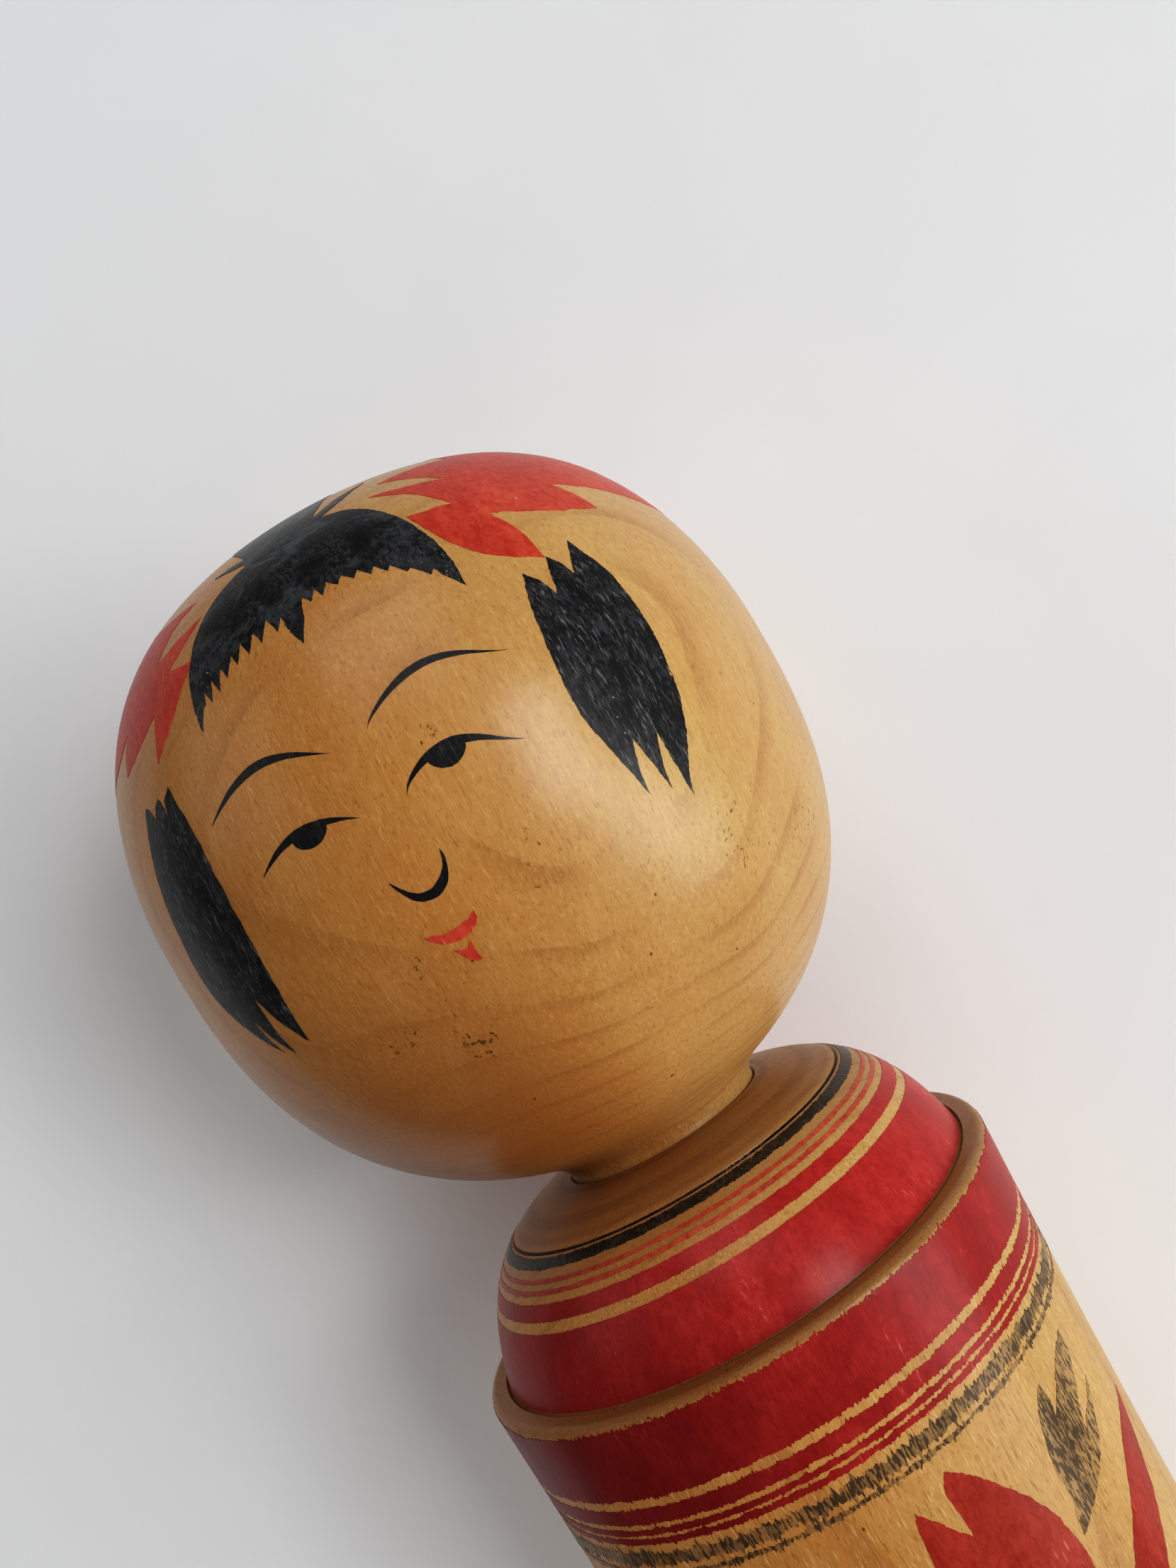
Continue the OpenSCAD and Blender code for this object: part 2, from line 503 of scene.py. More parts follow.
def dirt(g, mm):
    """Old brown marks: small spots gathered round a few places on the head."""
    total = 0.0
    for azimuth, height, size, amount in (
        (-9, 31, 2.2, 0.75), (-7.2, 21.7, 2.8, 0.8), (-16, 25, 3.0, 0.6), (-4, 26, 8.0, 0.3),
        (18.8, 16.7, 0.8, 1.0), (18.1, 8.6, 0.9, 1.0), (63, 24, 6.0, 0.5), (46, 26.5, 8.0, 0.4),
        (9.6, 48.2, 1.6, 0.7), (14, 33, 9.0, 0.3),
    ):
        s = float(head.s_at_height(SEAM_Z + height))
        centre = head.place(np.radians([azimuth]), [s])[0][0]
        gap = g.length(g.vector("SUBTRACT", mm, tuple(centre)))
        total = g.plus(g.times(g.remap(gap, size, size * 0.3), amount), total)
    spots = g.noise(mm, (1.9, 1.9, 1.5), detail=3.0, rough=0.65)
    marks = g.remap(g.plus(spots, g.times(total, 0.13)), 0.66, 0.74)
    return g.times(marks, g.remap(total, 0.1, 0.4))


def wood_group():
    """Old waxed dogwood in the object's own millimetres: colour, roughness and relief."""
    tree = bpy.data.node_groups.new("turned_wood", "ShaderNodeTree")
    for name, kind in (("Color", "NodeSocketColor"), ("Roughness", "NodeSocketFloat"),
                       ("Height", "NodeSocketFloat"), ("Millimetres", "NodeSocketVector")):
        tree.interface.new_socket(name, in_out="OUTPUT", socket_type=kind)
    g = Graph(tree)
    place = g.node("ShaderNodeTexCoord").outputs["Object"]
    mm = g.vector("MULTIPLY", place, (1000, 1000, 1000))
    up = g.node("ShaderNodeSeparateXYZ", {0: mm}).outputs[2]
    from_axis = g.length(g.vector("MULTIPLY", mm, (1, 1, 0)))

    # growth rings round a pith that lies well behind the turning axis and wanders
    wander = g.node("ShaderNodeTexNoise", {"Vector": g.vector("MULTIPLY", mm, (0.03, 0.03, 0.010)),
                                           "Scale": 1.0, "Detail": 1.0}).outputs["Color"]
    drift = g.vector("MULTIPLY", g.vector("SUBTRACT", wander, (0.5, 0.5, 0.5)), (9, 9, 0))
    bent = g.vector("ADD", mm, drift)
    flat = g.vector("MULTIPLY", g.vector("SUBTRACT", bent, PITH), (1, 1, 0))
    year = g.math("FRACT", g.math("DIVIDE", g.length(flat), YEAR))
    late = g.times(g.remap(year, 0.62, 0.94), g.remap(year, 1.0, 0.96))
    some = g.remap(g.noise(g.vector("MULTIPLY", flat, (0.10, 0.10, 0)), detail=1.0), 0.36, 0.62)
    ring_line = g.times(late, g.plus(g.times(some, 0.85), 0.15))

    # fibres, flecks and short dashes along the grain; the dashes are mostly on the body's side, and the
    # pale ones are partly painted glints
    fibre = g.noise(mm, (2.6, 2.6, 0.2), detail=3.0, rough=0.6)
    fleck = g.noise(mm, (3.4, 3.4, 1.3), detail=2.0, rough=0.55)
    dark_fleck = g.remap(fleck, 0.40, 0.29)
    pale_fleck = g.remap(fleck, 0.61, 0.74)
    grit = g.noise(mm, (2.0, 2.0, 0.95), detail=3.0, rough=0.65, distort=0.5)
    dash = g.noise(mm, (4.2, 4.2, 0.5), detail=1.0, rough=0.5)
    on_side = g.remap(up, SEAM_Z + 12, SEAM_Z - 15, 0.35, 1.0)
    dark_dash = g.times(g.remap(dash, 0.40, 0.28), on_side)
    pale_dash_and_glint = g.times(g.remap(dash, 0.60, 0.72), on_side)
    cloud = g.noise(mm, (0.05, 0.05, 0.03), detail=3.0, rough=0.55)
    patch = g.noise(mm, (0.16, 0.16, 0.11), detail=3.0, rough=0.6)

    # the wood is a deeper orange on the front, and pale yellow towards the doll's left, partly painted
    # sheen where the window shines; low on the body's front it is painted darker as shade, and the jaw is
    # painted brown as shade on the doll's right; the two directions are azimuths -40 and -60
    reach = g.math("MAXIMUM", from_axis, 12.0)
    front = g.math("DIVIDE", g.vector("DOT_PRODUCT", mm, (-0.64, -0.77, 0)), reach)
    front = g.remap(front, 0.31, 0.81)
    # painted shade: the front is darker brown low on the body
    low_front_shade = g.times(front, g.remap(up, SEAM_Z - 22, SEAM_Z - 55, 0.0, 0.42))
    # painted shade: the jaw is browner on the doll's right, away from the window
    right = g.math("DIVIDE", g.vector("DOT_PRODUCT", mm, (-0.86, -0.5, 0)), reach)
    right = g.remap(right, 0.19, 0.67)
    jaw_shade = g.times(g.remap(up, SEAM_Z + 38, SEAM_Z + 12, 0.0, 0.72), right)
    jaw_shade = g.times(jaw_shade, g.remap(up, SEAM_Z + 1, SEAM_Z + 9))
    tone = g.tint(
        g.mix(front, colour(*SIDE_WOOD_AND_SHEEN), colour(*FRONT_WOOD)),
        (g.remap(cloud, 0.35, 0.65, 0.0, 0.4), (0.44, 0.195, 0.06)),
        (g.remap(patch, 0.42, 0.7, 0.0, 0.25), (0.60, 0.34, 0.13)),
        (g.times(ring_line, 0.36), (0.27, 0.10, 0.025)),
        (g.remap(fibre, 0.3, 0.7, 0.16, 0.0), (0.28, 0.11, 0.03)),
        (g.remap(grit, 0.52, 0.34, 0.0, 0.12), (0.26, 0.10, 0.028)),
        (g.remap(grit, 0.54, 0.68, 0.0, 0.10), (0.78, 0.50, 0.22)),
        (g.times(dark_fleck, 0.34), (0.20, 0.075, 0.02)),
        (g.times(pale_fleck, 0.18), (0.80, 0.52, 0.22)),
        (g.times(dark_dash, 0.42), (0.22, 0.085, 0.022)),
        (g.times(pale_dash_and_glint, 0.34), (0.82, 0.56, 0.26)),
        (low_front_shade, (0.33, 0.12, 0.030)),
        (jaw_shade, (0.27, 0.092, 0.018)),
    )

    # the bare shoulder and the ledge's step are a darker grey-brown, with the marks of the tool, and the
    # groove where the dome meets the ledge is painted dark as shade
    below = g.remap(up, SEAM_Z + 0.1, SEAM_Z - 0.05)
    shoulder = g.times(below, g.remap(up, SEAM_Z - 7, SEAM_Z - 4))
    step = g.times(g.remap(up, SEAM_Z - 17.2, SEAM_Z - 15.9), g.remap(up, SEAM_Z - 14, SEAM_Z - 15))
    turned = g.node("ShaderNodeCombineXYZ", {0: from_axis, 1: g.times(up, 0.4)}).outputs[0]
    lathe = g.remap(g.noise(turned, (0.40, 0.40, 0.40)), 0.52, 0.34, 0.0, 0.38)
    # painted shade in the groove where the dome meets the ledge
    gap = g.math("ABSOLUTE", g.math("SUBTRACT", from_axis, GROOVE_R))
    groove_shade = g.times(g.remap(gap, 0.38, 0.1), g.math("LESS_THAN", up, SEAM_Z - 14.6))
    groove_shade = g.times(groove_shade, g.math("GREATER_THAN", up, SEAM_Z - 17))
    tone = g.tint(
        tone,
        (g.times(shoulder, 0.5), (0.27, 0.12, 0.048)),
        (g.times(step, 0.4), (0.27, 0.10, 0.04)),
        (g.times(g.math("MAXIMUM", shoulder, step), lathe), (0.15, 0.06, 0.024)),
        (g.times(groove_shade, 0.25), (0.09, 0.034, 0.015)),
    )

    # odd dark specks, and the old dirt on the head
    cells = g.node("ShaderNodeTexVoronoi",
                   {"Vector": g.vector("MULTIPLY", mm, (0.3, 0.3, 0.22)), "Scale": 1.0}).outputs
    draw = g.node("ShaderNodeSeparateColor", {0: cells["Color"]}).outputs[0]
    speck = g.times(g.math("GREATER_THAN", draw, 0.88), g.remap(cells["Distance"], 0.055, 0.03))
    speck = g.math("MAXIMUM", g.times(speck, 0.7), g.times(dirt(g, mm), 0.75))
    tone = g.tint(tone, (speck, (0.06, 0.02, 0.008)))

    rough = g.remap(patch, 0.3, 0.7, 0.42, 0.54)
    rough = g.plus(rough, g.times(dark_fleck, 0.12))
    height = g.plus(g.times(grit, 0.8), g.times(fleck, 0.9))
    height = g.plus(height, g.times(g.math("SUBTRACT", pale_dash_and_glint, dark_dash), 0.5))
    height = g.math("SUBTRACT", height, g.times(ring_line, 0.25))
    out = g.node("NodeGroupOutput")
    made = {"Color": tone, "Roughness": rough, "Height": height, "Millimetres": mm}
    for name, socket in made.items():
        tree.links.new(socket, out.inputs[name])
    return tree


WOOD = wood_group()


def finish_material(name, g, base, rough, height, relief, specular, wax, wax_rough):
    """The material's principled shader, with relief in millimetres and a coat of wax."""
    tree = g.tree
    shader = g.node("ShaderNodeBsdfPrincipled", {"Base Color": base, "Roughness": rough})
    shader.inputs["Specular IOR Level"].default_value = specular
    shader.inputs["Coat Weight"].default_value = wax
    shader.inputs["Coat Roughness"].default_value = wax_rough
    shader.inputs["Coat IOR"].default_value = 1.45
    bump = g.node("ShaderNodeBump", {"Height": height})
    bump.inputs["Strength"].default_value = 1.0
    bump.inputs["Distance"].default_value = relief * MM
    tree.links.new(bump.outputs[0], shader.inputs["Normal"])
    out = g.node("ShaderNodeOutputMaterial")
    tree.links.new(shader.outputs[0], out.inputs[0])
    return bpy.data.materials[name]


def start_material(name):
    """A new material's graph, and the wood that lies under its paint."""
    material = bpy.data.materials.new(name)
    material.use_nodes = True
    material.node_tree.nodes.clear()
    g = Graph(material.node_tree)
    wood = g.node("ShaderNodeGroup")
    wood.node_tree = WOOD
    return g, wood.outputs


def wood_material(name, wax, wax_rough):
    """Bare wood under wax."""
    g, wood = start_material(name)
    return finish_material(name, g, wood["Color"], wood["Roughness"], wood["Height"],
                           relief=0.045, specular=0.06, wax=wax, wax_rough=wax_rough)


def ink_material(name, dark, grey_tone, scratched):
    """Solid black ink, worn into small grey flakes and scratches, and smeared grey on the crown."""
    g, wood = start_material(name)
    mm = wood["Millimetres"]
    cloud = g.noise(mm, (0.36, 0.36, 0.30), detail=5.0, rough=0.72)
    flake = g.noise(mm, (2.3, 2.3, 0.9), detail=3.0, rough=0.7, distort=0.4)
    scratch = g.noise(mm, (5.0, 5.0, 0.55), detail=2.0, rough=0.6)
    grey = g.times(g.remap(cloud, 0.36, 0.62), g.remap(flake, 0.40, 0.60))
    black = g.mix(grey, colour(*dark), colour(*grey_tone))
    worn = g.times(g.remap(scratch, 0.57, 0.67), g.remap(cloud, 0.32, 0.56))
    up = g.node("ShaderNodeSeparateXYZ", {0: mm}).outputs[2]
    crown = g.remap(up, SEAM_Z + 58, SEAM_Z + 68)
    worn = g.times(worn, g.math("SUBTRACT", 1.0, g.times(crown, 0.75)))
    black = g.mix(g.times(worn, scratched), black, colour(0.22, 0.21, 0.195))
    smear = g.noise(mm, (0.26, 0.26, 0.3), detail=6.0, rough=0.78, distort=0.6)
    smear = g.times(g.remap(smear, 0.49, 0.60, 0.0, 0.65), crown)
    black = g.mix(g.times(smear, scratched), black, colour(0.125, 0.128, 0.135))
    hole = g.remap(g.noise(mm, (2.2, 2.2, 1.6), detail=2.0), 0.745, 0.79)
    base = g.mix(hole, black, wood["Color"])
    rough = g.remap(cloud, 0.35, 0.7, 0.42, 0.55)
    height = g.plus(g.times(flake, 0.8), g.times(scratch, 0.8))
    return finish_material(name, g, base, rough, height,
                           relief=0.035, specular=0.10, wax=0.42, wax_rough=0.25)


def dry_ink_material(name, solid):
    """Thin ink from a nearly dry brush: an olive wash with dark threads along the grain."""
    g, wood = start_material(name)
    mm = wood["Millimetres"]
    cloud = g.noise(mm, (0.25, 0.25, 0.16), detail=3.0, rough=0.6)
    thread = g.noise(mm, (4.0, 4.0, 0.75), detail=2.0, rough=0.6)
    line = g.remap(g.plus(thread, g.times(cloud, 0.25)), 0.60, 0.66)
    base = g.tint(
        wood["Color"],
        (g.remap(cloud, 0.40, 0.62, solid, solid + 0.3), (0.13, 0.085, 0.045)),
        (g.times(line, 0.82), (0.038, 0.026, 0.015)),
    )
    return finish_material(name, g, base, wood["Roughness"], wood["Height"],
                           relief=0.03, specular=0.10, wax=0.3, wax_rough=0.26)


def dye_material(name, deep, pale, thin, shade_share_right=0.0):
    """Red dye that has soaked into the wood. thin is how much of the wood shows through, and the last
    argument is how much shade is painted into it round on the doll's right."""
    g, wood = start_material(name)
    mm = wood["Millimetres"]
    cloud = g.noise(mm, (0.22, 0.22, 0.12), detail=4.0, rough=0.62)
    grain = g.noise(mm, (2.8, 2.8, 0.32), detail=3.0, rough=0.6)
    vein = g.noise(mm, (1.3, 1.3, 0.9), detail=3.0, rough=0.6, distort=0.8)
    worn = g.times(g.remap(grain, 0.60, 0.72), g.remap(cloud, 0.52, 0.64))
    # painted shade: the dye is darker round on the doll's right, away from the window
    shade_on_right = g.remap(g.vector("DOT_PRODUCT", mm, (-0.77, -0.64, 0)), 14, 27, 0.0, shade_share_right)
    red = g.tint(
        colour(*deep),
        (g.remap(cloud, 0.36, 0.64), pale),
        (g.remap(vein, 0.56, 0.38, 0.0, 0.28), darker(deep, 0.62, 0.5)),
        (g.remap(grain, 0.50, 0.32, 0.0, 0.3), darker(deep, 0.6, 0.5)),
        (g.times(worn, 0.5), (0.72, 0.28, 0.22)),
        (shade_on_right, darker(deep, 0.42, 0.35)),
    )
    base = g.mix(g.times(g.remap(vein, 0.35, 0.7), thin), red, wood["Color"])
    rough = g.remap(cloud, 0.3, 0.7, 0.40, 0.52)
    height = g.plus(wood["Height"], g.times(vein, 0.6))
    return finish_material(name, g, base, rough, height,
                           relief=0.03, specular=0.08, wax=0.24, wax_rough=0.24)


def stage_material(name, tone):
    """Matt pale card, clear from behind."""
    material = bpy.data.materials.new(name)
    material.use_nodes = True
    material.node_tree.nodes.clear()
    g = Graph(material.node_tree)
    place = g.node("ShaderNodeTexCoord").outputs["Object"]
    grain = g.noise(place, (60, 60, 60), detail=2.0)
    base = g.mix(g.remap(grain, 0.3, 0.7), colour(*(c * 0.99 for c in tone)), colour(*tone))
    shader = g.node("ShaderNodeBsdfPrincipled", {"Base Color": base})
    shader.inputs["Roughness"].default_value = 0.8
    shader.inputs["Specular IOR Level"].default_value = 0.2
    clear = g.node("ShaderNodeBsdfTransparent")
    behind = g.node("ShaderNodeNewGeometry").outputs["Backfacing"]
    both = g.node("ShaderNodeMixShader", {0: behind, 1: shader.outputs[0], 2: clear.outputs[0]})
    out = g.node("ShaderNodeOutputMaterial")
    material.node_tree.links.new(both.outputs[0], out.inputs[0])
    return material


# ---------------------------------------------------------------- head

def add_head(wood, ink, face_ink, dye):
    """The turned head and everything painted on it."""
    piece = turned_solid("head_wood", head, wood)
    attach(piece, "doll_head")
    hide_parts("head")

    def black(name, sheet, outlines, lift=PAINT_LIFT):
        paint(name, "doll_head", sheet, outlines, ink, shake=0.05, lift=lift)

    def red(name, sheet, outlines, shake):
        paint(name, "doll_head", sheet, outlines, dye, shake=shake)

    def fine(name, outlines):
        paint(name, "doll_head", on_head, outlines, face_ink, shake=0.015)

    fine("brow_right", [leaf((-16.6, 51.6), (-1.7, 51.1), 2.9, 2.05, 0.5, 0.9, 1.1)])
    fine("brow_left", [leaf((2.2, 51.2), (17.0, 51.4), 3.1, 2.35, 0.47, 0.8, 1.3)])
    fine("eye_right", [
        leaf((-13.9, 44.8), (-2.3, 44.75), 2.15, 1.35, 0.5, 0.9, 0.9),
        leaf((-9.2, 46.1), (-5.3, 46.1), 0.5, -1.45, 0.5, 0.4, 0.5),
    ])
    fine("eye_left", [
        leaf((2.5, 44.4), (14.4, 43.5), 2.95, 2.05, 0.42, 0.8, 1.5),
        leaf((5.45, 46.1), (9.2, 46.1), 0.5, -1.55, 0.5, 0.5, 0.45),
    ])
    fine("nose", [outline(
        (-3.05, 38.5),
        [(-2.7, 37.5), (-1.9, 36.1), (-1, 35.45), (0.2, 35.25),
         (1.25, 35.65), (2, 36.4), (2.55, 37.8), (2.55, 38.9)],
        [(2.15, 37.7), (1.5, 36.9), (0.4, 36.25), (-0.6, 36.2),
         (-1.4, 36.5), (-2.2, 37.3), (-3.05, 38.5)],
    )])
    red("mouth", on_head, [
        outline((-3.05, 32.75), [(-2.1, 31.65), (-1.2, 31.15), (-0.1, 31), (0.9, 31.1), (1.8, 31.5)],
                [(2.35, 32.1), (2.25, 32.6)],
                [(1.5, 32.3), (0.6, 32.1), (-0.6, 32.05), (-1.6, 32.25), (-3.05, 32.75)]),
        outline((-1.3, 30.5), [(-0.3, 30.1), (0.15, 30.15), (0.6, 30.6)], [(0.55, 29.6), (0.6, 28.6)],
                [(0.2, 28.6), (-0.55, 29.3), (-1.3, 30.5)]),
    ], shake=0.05)

    # the topknot crosses the fringe, so it lies a hair above it
    black("fringe", on_crown, [fringe_outline()])
    black("topknot", on_crown, [
        topknot_outline(),
        leaf((5.2, -28.6), (10.8, -22.0), -0.9, 0.3, 0.35, 0.6, 1.2),
        leaf((-2.6, -29.2), (-7.0, -26.9), -0.6, 0.3, 0.35, 0.6, 1.2),
    ], PAINT_LIFT + 0.01)
    black("side_lock_left", on_head, [outline(
        (22.7, 57.4),
        [(21.2, 53.9), (20.4, 50.2), (19.8, 46.3), (19.8, 42.4),
         (20.4, 39.7), (21.0, 37.2), (22.0, 33.8)],
        [(22.3, 36.4), (23.1, 39)], [(23.8, 36), (24.4, 33.1)], [(24.9, 36), (25.8, 38.6)],
        [(26.0, 35.5), (26.4, 31.6)],
        [(27.0, 33.6), (28.2, 35.8), (29.9, 39.1), (30.9, 42.4),
         (31.5, 46.3), (31.7, 50.2), (31.3, 54.6), (29.8, 58.9)],
        [(28.9, 57.6), (27.5, 55.3)], [(27.1, 56.8), (26.1, 58.1)], [(25.4, 56.6), (24.4, 54.1)],
        [(23.8, 56), (22.7, 57.4)],
    )])
    black("side_lock_right", on_head, [outline(
        (-26.3, 57.6),
        [(-27.6, 55.2), (-29.1, 51.3), (-30.2, 46.9), (-31.2, 41.9),
         (-30.8, 37.8), (-28.8, 34.1), (-25.5, 30.1)],
        [(-26.2, 32.2), (-26.5, 34.8)], [(-25.6, 32.2), (-23.8, 29.5)], [(-24.1, 32.5), (-23.7, 35.8)],
        [(-22.6, 33), (-20.7, 29.9)],
        [(-19.9, 35.2), (-19.5, 38.8), (-19.3, 42.4), (-19.1, 48.6), (-19.5, 53), (-20.9, 57.6)],
        [(-22, 56.8), (-22.5, 55.1)], [(-22.7, 56.4), (-23.4, 57.4)], [(-24.4, 56.6), (-24.8, 55.3)],
        [(-25.3, 56.8), (-26.3, 57.6)],
    )])

    back_leaves = (
        [(40, 1), (42.5, 12)], [(38, 8), (31, 4)], [(33, 15), (31.5, 30)],
        [(24, 24), (16, 13), (9, 4)], [(14, 4), (19.5, -2)],
        [(15, -6.5), (10.5, -10)], [(15, -12.5), (19.5, -18)],
    )
    red("hair_cord_left", on_crown, [outline(
        (15.2, -33),
        [(17.5, -35.8), (20.5, -37.9), (24.5, -38.6), (29.5, -37.5)], [(27.2, -34.7), (24, -32.5)],
        [(28, -30.9), (32, -28.8), (36.3, -24.8)], [(34, -24.1), (31, -23.7)],
        [(35, -20.3), (38.5, -17), (41.5, -13), (43.4, -9), (44.5, -4)], [(39, -7), (33, -12)],
        *back_leaves,
        [(16, -21.5), (12.5, -24.6)], [(16, -25), (19.8, -26)],
        [(16, -27), (11.5, -27.9)], [(16, -29), (20, -31.2)],
        [(17.6, -32.2), (15.2, -33)],
    )], shake=0.06)
    red("hair_cord_right", on_crown, [mirrored(outline(
        (12.3, -35.8),
        [(15, -37), (19, -38.4), (23.8, -38.6)], [(22.2, -36.8), (20.5, -34.8)],
        [(24, -34), (27.5, -32.8), (30.2, -31.4)], [(28.6, -29.9), (26.5, -28.8)],
        [(31.5, -26.5), (36.5, -21), (40, -12)], [(36, -12.5), (32, -12)],
        *back_leaves,
        [(15.5, -24), (10, -28)], [(14, -28.2), (17.3, -30)],
        [(13.5, -31), (9.6, -32)], [(13, -32.8), (16, -33.3)],
        [(14, -35), (12.3, -35.8)],
    ))], shake=0.06)


def fringe_outline():
    """The cut fringe: a smooth dome above, and a row of brush teeth below with one long lock."""
    top = curve_through([(-15.6, -43.3), (-15.1, -40.6), (-14.1, -37.9), (-12.4, -35.3), (-9.6, -32.7),
                         (-6.2, -30.9), (-2, -29.6), (3, -28.9), (7, -28.6), (10.5, -29.8),
                         (14.2, -32.7), (17, -36.1), (18.9, -39.4), (20, -42.6)])
    teeth = [(17.6, -41.2), (16.8, -40.4), (16.4, -41.1), (14.4, -40.0)]
    for tip_x, root_x in ((14.0, 12.3), (12.0, 10.6), (10.2, 8.8), (8.3, 7.0),
                          (6.4, 5.2), (4.5, 3.8), (3.1, 2.3)):
        bow = 0.014 * (tip_x - 9) ** 2
        teeth += [(tip_x, -39.7 - bow - rng.uniform(0, 0.5)), (root_x, -38.6 - bow - rng.uniform(0, 0.3))]
    teeth += [(1.5, -42.2), (0.6, -44.2), (-0.3, -42.4), (-0.7, -40.1)]
    for tip_x, root_x in ((-1.6, -2.4), (-3.8, -4.4), (-5.7, -6.2), (-7.5, -7.8),
                          (-9.3, -9.7), (-11.0, -11.3), (-12.4, -12.8)):
        bow = 0.009 * (tip_x + 2) ** 2
        teeth += [(tip_x, -41.0 - bow - rng.uniform(0, 0.5)), (root_x, -39.2 - bow - rng.uniform(0, 0.4))]
    teeth += [(-13.4, -41.6), (-14.0, -41.5)]
    return np.array(top + teeth)


def topknot_outline():
    """The lock that runs back from the fringe over the crown and ends in split brush tips."""
    right = curve_through([(5.4, -30.5), (5.5, -27.4), (6.3, -23.0), (6.7, -16),
                           (6.6, -4), (6.0, 7), (4.6, 14.5)])
    left = curve_through([(-4.4, 14.2), (-5.6, 6), (-5.9, -6), (-5.7, -16),
                          (-4.9, -23), (-3.3, -27.5), (-3.0, -30.5)])
    tips = [(3.4, 19.0), (2.2, 15.0), (0.6, 20.5), (-0.9, 15.2), (-2.6, 18.4)]
    return np.array(right + tips + left)


# ---------------------------------------------------------------- body

def add_body(wood, ring_ink, band_ink, leaf_ink, dye, side_dye, thin_dye, petal_dye):
    """The turned body, its bands and its chrysanthemums."""
    piece = turned_solid("body_wood", body, wood)
    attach(piece, "doll_body")
    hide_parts("body")

    def band(name, s0, s1, material, slot, **more):
        ring(name, body, s0, s1, material, slot, "doll_body", **more)

    band("shoulder_line", 9.55, 9.85, ring_ink, "black_ink", ragged0=0.02, ragged1=0.02)
    band("shoulder_black_ring", 10.5, 11.7, ring_ink, "black_ink", ragged0=0.08, ragged1=0.08)
    band("shoulder_thin_ring_1", 12.75, 13.2, thin_dye, "red_dye", ragged0=0.05, ragged1=0.05)
    band("shoulder_thin_ring_2", 13.85, 14.35, thin_dye, "red_dye", ragged0=0.05, ragged1=0.05)
    band("shoulder_red_ring", 15.2, 16.9, dye, "red_dye", ragged0=0.05, ragged1=0.05)
    band("shoulder_red_dome", 18.05, 25.6, dye, "red_dye", ragged0=0.04, ragged1=0.0)

    def side(y):
        return float(body.s_at_height(SEAM_Z + y, LEDGE_S))

    for name, y0, y1, material, slot, ragged, teeth in (
        ("side_red_band", -16.3, -23.8, side_dye, "red_dye", 0.12, 0.35),
        ("side_red_stripe", -24.8, -26.4, side_dye, "red_dye", 0.10, 0.35),
        ("side_thin_stripe_1", -27.0, -27.6, side_dye, "red_dye", 0.09, 0.25),
        ("side_thin_stripe_2", -28.0, -28.6, side_dye, "red_dye", 0.09, 0.25),
        ("side_black_stripe", -29.6, -30.9, band_ink, "black_ink", 0.25, 0.8),
        ("side_fine_line", -31.6, -32.0, band_ink, "black_ink", 0.12, 0.5),
        ("foot_fine_line", -138.7, -139.1, band_ink, "black_ink", 0.12, 0.5),
        ("foot_black_stripe", -139.9, -141.2, band_ink, "black_ink", 0.25, 0.8),
        ("foot_thin_stripe", -142.4, -143.0, side_dye, "red_dye", 0.09, 0.25),
        ("foot_red_stripe", -143.9, -145.5, side_dye, "red_dye", 0.10, 0.35),
        ("foot_red_band", -146.5, -154.5, side_dye, "red_dye", 0.12, 0.35),
    ):
        band(name, side(y0), side(y1), material, slot, ragged0=ragged, ragged1=ragged, teeth=teeth)

    for tier, (top, size) in enumerate(((0.0, 1.0), (-57.0, 0.86)), 1):
        paint(f"chrysanthemum_{tier}", "doll_body", on_body,
              [p * size + (0, top) for p in petal_outlines()], petal_dye, shake=0.07)
        for side_name, sign in (("left", 1), ("right", -1)):
            prongs = [p * size + (0, top) for p in leaf_outlines()]
            prongs = prongs if sign > 0 else [mirrored(p) for p in prongs]
            paint(f"leaf_{side_name}_{tier}", "doll_body", on_body, prongs,
                  leaf_ink, shake=0.10)


def petal_outlines():
    """One chrysanthemum seen from the side: petals spring from its foot and curl outwards."""
    half = (
        outline((2, -79), [(5.6, -50), (7.2, -42), (7.8, -36.8), (8.4, -35.4)],
                [(9.8, -37.2), (12.2, -40.3)], [(12.1, -38.6), (11.9, -35.4), (12.7, -33.8)],
                [(15.1, -36), (17.6, -39), (19.6, -41.9), (21, -44.6), (22, -49), (21.8, -53), (20, -61),
                 (14, -71), (5, -79)], [(2, -79)]),
        outline((43, -46.1),
                [(36.8, -47.5), (33.3, -49.7), (30.2, -52.1), (26.8, -54.7), (20, -62), (7, -78)],
                [(16, -72.5), (25, -65), (31.7, -58.8), (36, -55), (38.7, -52), (43, -46.1)]),
        leaf((9.5, -79), (43.0, -62.0), 3.0, -4.4, 0.55, 1.0, 0.7),
        leaf((9.0, -81), (37.0, -78.0), 2.6, -4.4, 0.55, 1.0, 0.7),
        leaf((6.0, -83), (25.0, -89.0), 2.4, -3.6, 0.55, 1.0, 0.7),
    )
    middle = leaf((0, -80), (0, -40.5), 3.8, -3.8, 0.6, 1.0, 0.6)
    return [middle, *half, *(mirrored(p) for p in half)]


def leaf_outlines():
    """One three-pronged leaf beside the flower."""
    return [outline(
        (27.3, -35),
        [(25.4, -36.4), (24.3, -38.9), (23.7, -41.8), (23.6, -44.8), (22.9, -48.2)],
        [(25.8, -47.3), (29, -46), (32.2, -44.1), (35.6, -40.1)], [(33, -41.3), (30.2, -42.4)],
        [(31.6, -40.4), (33.4, -38.5), (34.9, -36.4), (35, -34.3)],
        [(31.4, -35.5), (29.2, -37.1), (27.2, -38.7)],
        [(27.5, -37), (27.3, -35)],
    )]


# ---------------------------------------------------------------- stage and light

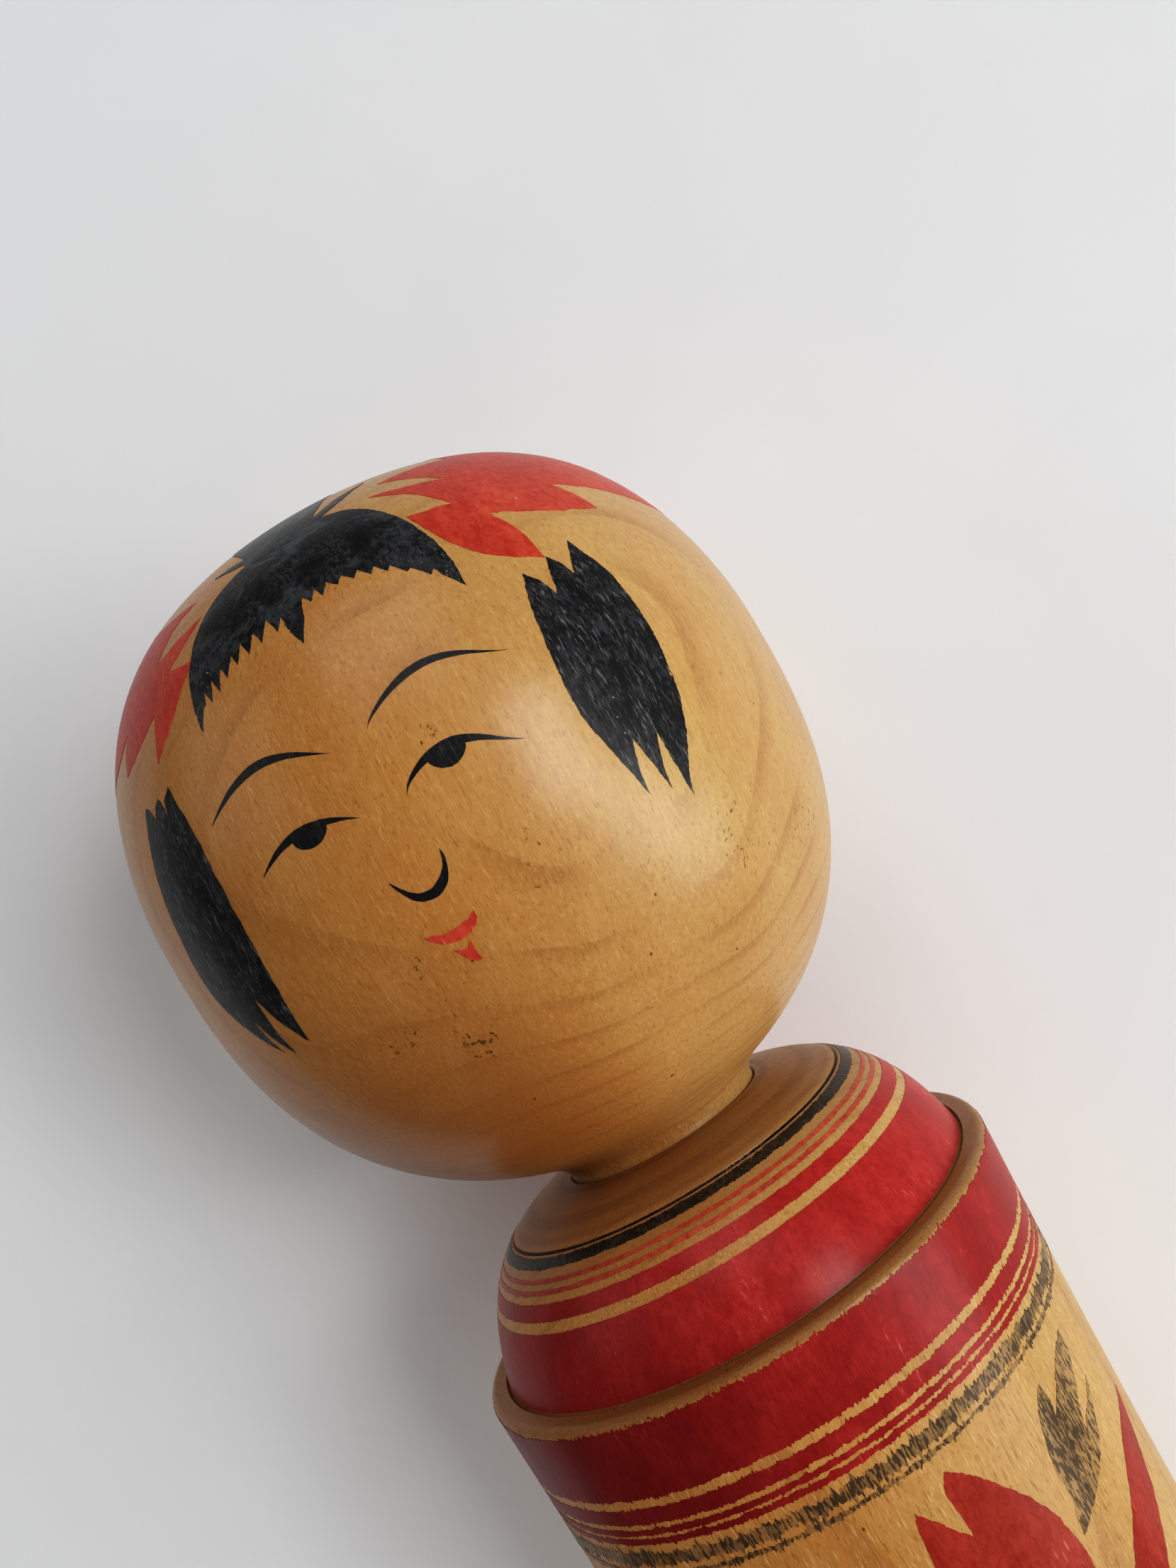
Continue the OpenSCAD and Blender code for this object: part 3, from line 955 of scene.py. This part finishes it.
def flat_sheet(name, corners, material):
    """A four-cornered part of the stage, which stops no light."""
    mesh = bpy.data.meshes.new(name)
    mesh.from_pydata(corners, [], [(0, 1, 2, 3)])
    mesh.materials.append(material)
    obj = bpy.data.objects.new(name, mesh)
    bpy.context.scene.collection.objects.link(obj)
    obj.visible_shadow = False
    return obj


def add_stage():
    """A pale floor, and a pale board that touches the doll's back and is seen only from its front.
    Neither stops the light, so the window can shine on the doll from as low as in the photograph."""
    pale = stage_material("pale_board", (0.82, 0.828, 0.838))
    w, tall, back = 0.45, 0.6, (HEAD_R + 0.4) * MM  # metres
    floor = flat_sheet("floor", [(-w, -w, 0), (w, -w, 0), (w, w, 0), (-w, w, 0)], pale)
    floor.visible_glossy = False
    flat_sheet("board", [(-w, back, 0), (w, back, 0), (w, back, tall), (-w, back, tall)], pale)

    # the board is clear from behind, so a light in its place gives the floor there the same glow
    glow = bpy.data.lights.new("board_glow", "AREA")
    glow.shape = "RECTANGLE"
    glow.size = 2 * w
    glow.size_y = tall
    glow.energy = 1.25
    lamp = bpy.data.objects.new("board_glow", glow)
    bpy.context.scene.collection.objects.link(lamp)
    lamp.location = (0, back + 0.01 * MM, tall / 2)
    lamp.rotation_euler = (math.radians(90), 0, 0)
    lamp.visible_camera = False


def area_light(name, azimuth, elevation, size, power):
    """A square soft light that looks at the doll's neck from that direction. Its azimuth and elevation
    are in degrees, its size in metres and its power in watts."""
    data = bpy.data.lights.new(name, "AREA")
    data.shape = "SQUARE"
    data.size = size
    data.energy = power
    obj = bpy.data.objects.new(name, data)
    bpy.context.scene.collection.objects.link(obj)
    a, e = math.radians(azimuth), math.radians(elevation)
    back = Vector((math.sin(a) * math.cos(e), -math.cos(a) * math.cos(e), math.sin(e)))
    obj.location = Vector((0, 0, SEAM_Z * MM)) + back * LIGHT_AWAY
    obj.rotation_mode = "QUATERNION"
    obj.rotation_quaternion = back.to_track_quat("Z", "Y")
    obj.visible_camera = False


def add_world():
    """A dim room that shows pale behind the stage."""
    world = bpy.data.worlds.new("room")
    bpy.context.scene.world = world
    world.use_nodes = True
    world.node_tree.nodes.clear()
    g = Graph(world.node_tree)
    seen = g.node("ShaderNodeLightPath").outputs["Is Camera Ray"]
    strength = g.node("ShaderNodeMapRange", {"Value": seen, "To Min": 0.02, "To Max": 0.72}).outputs[0]
    light = g.node("ShaderNodeBackground", {"Color": colour(1.0, 0.98, 0.98), "Strength": strength})
    out = g.node("ShaderNodeOutputWorld")
    world.node_tree.links.new(light.outputs[0], out.inputs[0])


def set_tone():
    """A photograph's tone: each channel is darker in the shadows, so shaded colours are deeper."""
    view = bpy.context.scene.view_settings
    view.view_transform = "Standard"
    view.use_curve_mapping = True
    curve = view.curve_mapping.curves[3]  # the curve for all three channels
    for x, y in ((0.03, 0.013), (0.1, 0.066), (0.25, 0.22), (0.5, 0.5)):
        curve.points.new(x, y)
    view.curve_mapping.update()


def add_lights():
    """Broad window light from the doll's left, in front of it, with a weak fill on its right."""
    for name, azimuth, elevation, size, power in (
        ("window_front", 39, 3, 0.85, 24),
        ("window_middle", 54, -15, 1.0, 20),
        ("window_side", 73, -25, 1.1, 19),
        ("ceiling", 10, 45, 1.6, 16.5),
        ("room_right", -60, 30, 1.6, 8),
        ("room_left", 150, 8, 1.6, 9),
        ("room_back", 205, 8, 1.6, 18),
    ):
        area_light(name, azimuth, elevation, size, power)


# ---------------------------------------------------------------- build

place_camera()
head_finish = wood_material("waxed_head", 0.62, 0.26)
body_finish = wood_material("waxed_body", 0.35, 0.27)
black_ink = ink_material("black_ink", (0.013, 0.013, 0.014), (0.046, 0.047, 0.050), 0.6)
face_ink = ink_material("face_ink", (0.013, 0.013, 0.014), (0.026, 0.026, 0.028), 0.12)
ring_ink = ink_material("ring_ink", (0.020, 0.014, 0.010), (0.060, 0.042, 0.026), 0.2)
band_ink = dry_ink_material("band_ink", 0.50)
leaf_ink = dry_ink_material("leaf_ink", 0.30)
hair_dye = dye_material("hair_dye", (0.46, 0.046, 0.030), (0.57, 0.072, 0.046), 0.10)
band_dye = dye_material("band_dye", (0.37, 0.029, 0.025), (0.46, 0.044, 0.037), 0.0, 0.45)
side_dye = dye_material("side_dye", (0.28, 0.019, 0.016), (0.36, 0.029, 0.025), 0.0, 0.55)
thin_dye = dye_material("thin_dye", (0.43, 0.055, 0.032), (0.53, 0.090, 0.050), 0.25, 0.4)
petal_dye = dye_material("petal_dye", (0.30, 0.028, 0.016), (0.37, 0.042, 0.026), 0.03)
add_head(head_finish, black_ink, face_ink, hair_dye)
add_body(body_finish, ring_ink, band_ink, leaf_ink, band_dye, side_dye, thin_dye, petal_dye)
add_stage()
add_world()
add_lights()
set_tone()
